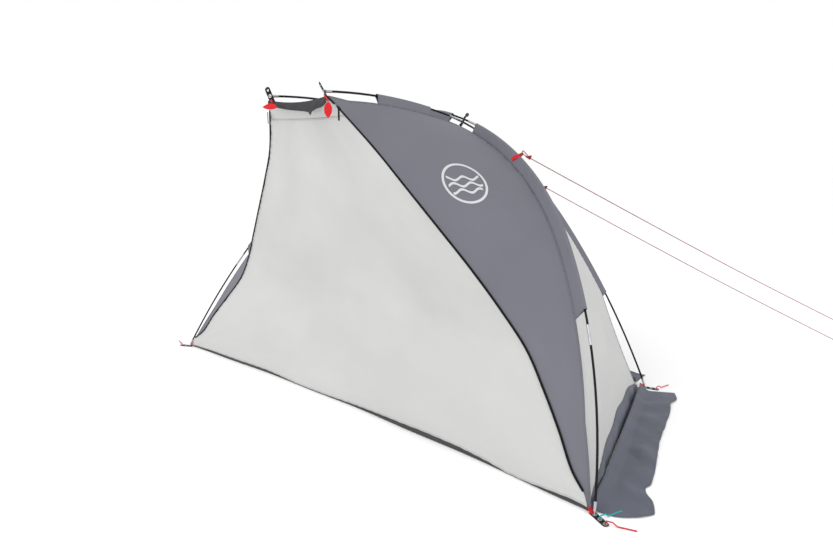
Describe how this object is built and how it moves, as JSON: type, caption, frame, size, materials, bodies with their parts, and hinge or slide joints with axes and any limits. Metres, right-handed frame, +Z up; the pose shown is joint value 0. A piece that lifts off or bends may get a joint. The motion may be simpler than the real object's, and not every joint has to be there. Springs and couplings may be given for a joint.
{
  "type": "tarp shelter",
  "caption": "Low domed cloth shelter on three flexible poles, its front panel zipped shut, with ground flaps, pegs, webbing corners and two guy lines on one side.",
  "frame": {"origin": "on the ground under the middle of the groundsheet", "axes": "+X to the right seen from the front, +Y to the rear, +Z up"},
  "size_m": [3.6463, 3.2001, 1.5411],
  "materials": {
    "cloth_light": "matt woven polyester",
    "cloth_dark": "matt woven polyester",
    "cloth_slate": "coated woven polyester",
    "webbing_black": "matt webbing",
    "webbing_red": "matt webbing",
    "pole_black": "satin fibreglass",
    "steel": "satin",
    "zip_black": "satin",
    "plastic_grey": "satin",
    "plastic_red": "satin",
    "cord_red": "braided",
    "elastic": "matt",
    "peg_red": "gloss paint",
    "peg_teal": "gloss paint"
  },
  "bodies": {
    "shelter": {"groundsheet": "cloth_slate", "front_hem": "cloth_slate", "front_valance": "cloth_dark", "rear_wall": "cloth_dark", "roof_panel": "cloth_dark", "foot_band_rear": "cloth_slate", "foot_band_right": "cloth_slate", "foot_band_left": "cloth_slate", "side_panel_right": "cloth_dark", "side_panel_left": "cloth_dark", "side_wall_right": "cloth_light", "side_wall_left": "cloth_light", "sleeve_arch_centre": "cloth_dark", "sleeve_arch_right": "cloth_dark", "sleeve_arch_left": "cloth_dark", "sleeve_bow_front_right": "cloth_dark", "sleeve_bow_front_left": "cloth_dark", "sleeve_bow_rear_right": "cloth_dark", "sleeve_bow_rear_left": "cloth_dark", "arch_pole": "pole_black", "arch_ferrules": "steel", "bow_pole_right": "pole_black", "bow_pole_left": "pole_black", "bow_ferrules_right": "steel", "bow_ferrules_left": "steel", "shock_cords": "elastic", "corner_strap_front_right": "webbing_black", "corner_strap_front_left": "webbing_black", "corner_strap_rear_right": "webbing_black", "corner_strap_rear_left": "webbing_black", "top_strap_right": "webbing_black", "top_strap_left": "webbing_black", "eyelets": "steel", "corner_tabs": "webbing_red", "guy_tabs": "webbing_red", "leaf_tag_right": "webbing_red", "leaf_tag_left": "webbing_red", "zip_tape_right": "zip_black", "zip_tape_left": "zip_black", "guy_line_arch": "cord_red", "guy_line_bow": "cord_red", "guy_peg_arch": "peg_red", "guy_peg_bow": "peg_red"},
    "door": {"door_panel": "cloth_light"},
    "zip_slider_r": {"zip_slider_right": "zip_black"},
    "zip_slider_l": {"zip_slider_left": "zip_black"},
    "zip_pull_r": {"zip_puller_right": "zip_black"},
    "zip_pull_l": {"zip_puller_left": "zip_black"},
    "skirt_r": {"skirt_right": "cloth_slate"},
    "skirt_l": {"skirt_left": "cloth_slate"},
    "skirt_b": {"skirt_rear": "cloth_slate"},
    "hub_hook_r": {"hub_hook_right": "plastic_grey"},
    "hub_hook_l": {"hub_hook_left": "plastic_grey"},
    "runner_arch": {"guy_runner_arch": "plastic_red"},
    "runner_bow": {"guy_runner_bow": "plastic_red"},
    "peg_front_r": {"corner_peg_front_right": "peg_red"},
    "peg_front_l": {"corner_peg_front_left": "peg_red"},
    "peg_rear_r": {"corner_peg_rear_right": "peg_red"},
    "peg_rear_l": {"corner_peg_rear_left": "peg_red"},
    "peg_teal": {"teal_peg_front": "peg_teal"}
  },
  "joints": [
    {"name": "door_fold", "type": "hinge", "parent": "shelter", "child": "door", "pos_m": [0, -0.605, 0.03], "axis": [1, 0, 0], "range_deg": [0, 84]},
    {"name": "zip_slide_right", "type": "slide", "parent": "door", "child": "zip_slider_r", "axis": [0.5487, 0.399, -0.7347], "range_m": [0, 0.1]},
    {"name": "zip_slide_left", "type": "slide", "parent": "door", "child": "zip_slider_l", "axis": [-0.5487, 0.399, -0.7347], "range_m": [0, 0.1]},
    {"name": "zip_pull_right_hinge", "type": "hinge", "parent": "zip_slider_r", "child": "zip_pull_r", "pos_m": [0.236, -0.7159, 1.4335], "axis": [-0.893, -0.45, 0], "range_deg": [0, 60]},
    {"name": "zip_pull_left_hinge", "type": "hinge", "parent": "zip_slider_l", "child": "zip_pull_l", "pos_m": [-0.236, -0.7159, 1.4335], "axis": [-0.893, 0.45, 0], "range_deg": [0, 60]},
    {"name": "skirt_right_hinge", "type": "hinge", "parent": "shelter", "child": "skirt_r", "pos_m": [1.3543, -0.5489, 0.04], "axis": [0.163, -0.9866, 0], "range_deg": [0, 90]},
    {"name": "skirt_left_hinge", "type": "hinge", "parent": "shelter", "child": "skirt_l", "pos_m": [-1.3543, -0.5489, 0.04], "axis": [0.163, 0.9866, 0], "range_deg": [0, 90]},
    {"name": "skirt_rear_hinge", "type": "hinge", "parent": "shelter", "child": "skirt_b", "pos_m": [0, 0.627, 0.04], "axis": [1, 0, 0], "range_deg": [0, 60]},
    {"name": "hub_hook_right_hinge", "type": "hinge", "parent": "shelter", "child": "hub_hook_r", "pos_m": [0.2504, 0.1449, 1.3932], "axis": [0.9384, -0.1661, -0.3031], "range_deg": [0, 55]},
    {"name": "hub_hook_left_hinge", "type": "hinge", "parent": "shelter", "child": "hub_hook_l", "pos_m": [-0.2504, 0.1449, 1.3932], "axis": [0.9384, 0.1661, 0.3031], "range_deg": [0, 55]},
    {"name": "runner_arch_slide", "type": "slide", "parent": "shelter", "child": "runner_arch", "axis": [0.4875, 0.7632, -0.4241], "range_m": [0, 0.3]},
    {"name": "runner_bow_slide", "type": "slide", "parent": "shelter", "child": "runner_bow", "axis": [0.671, 0.5786, -0.4637], "range_m": [0, 0.3]},
    {"name": "peg_front_right_turn", "type": "hinge", "parent": "shelter", "child": "peg_front_r", "pos_m": [1.4202, -0.6309, 0.002], "axis": [0, 0, 1], "range_deg": [-30, 30]},
    {"name": "peg_front_left_turn", "type": "hinge", "parent": "shelter", "child": "peg_front_l", "pos_m": [-1.4202, -0.6309, 0.002], "axis": [0, 0, 1], "range_deg": [-30, 30]},
    {"name": "peg_rear_right_turn", "type": "hinge", "parent": "shelter", "child": "peg_rear_r", "pos_m": [1.2335, 0.6297, 0.002], "axis": [0, 0, 1], "range_deg": [-30, 30]},
    {"name": "peg_rear_left_turn", "type": "hinge", "parent": "shelter", "child": "peg_rear_l", "pos_m": [-1.2335, 0.6297, 0.002], "axis": [0, 0, 1], "range_deg": [-30, 30]},
    {"name": "teal_peg_turn", "type": "hinge", "parent": "shelter", "child": "peg_teal", "pos_m": [1.3957, -0.6174, 0.002], "axis": [0, 0, 1], "range_deg": [-30, 30]}
  ]
}
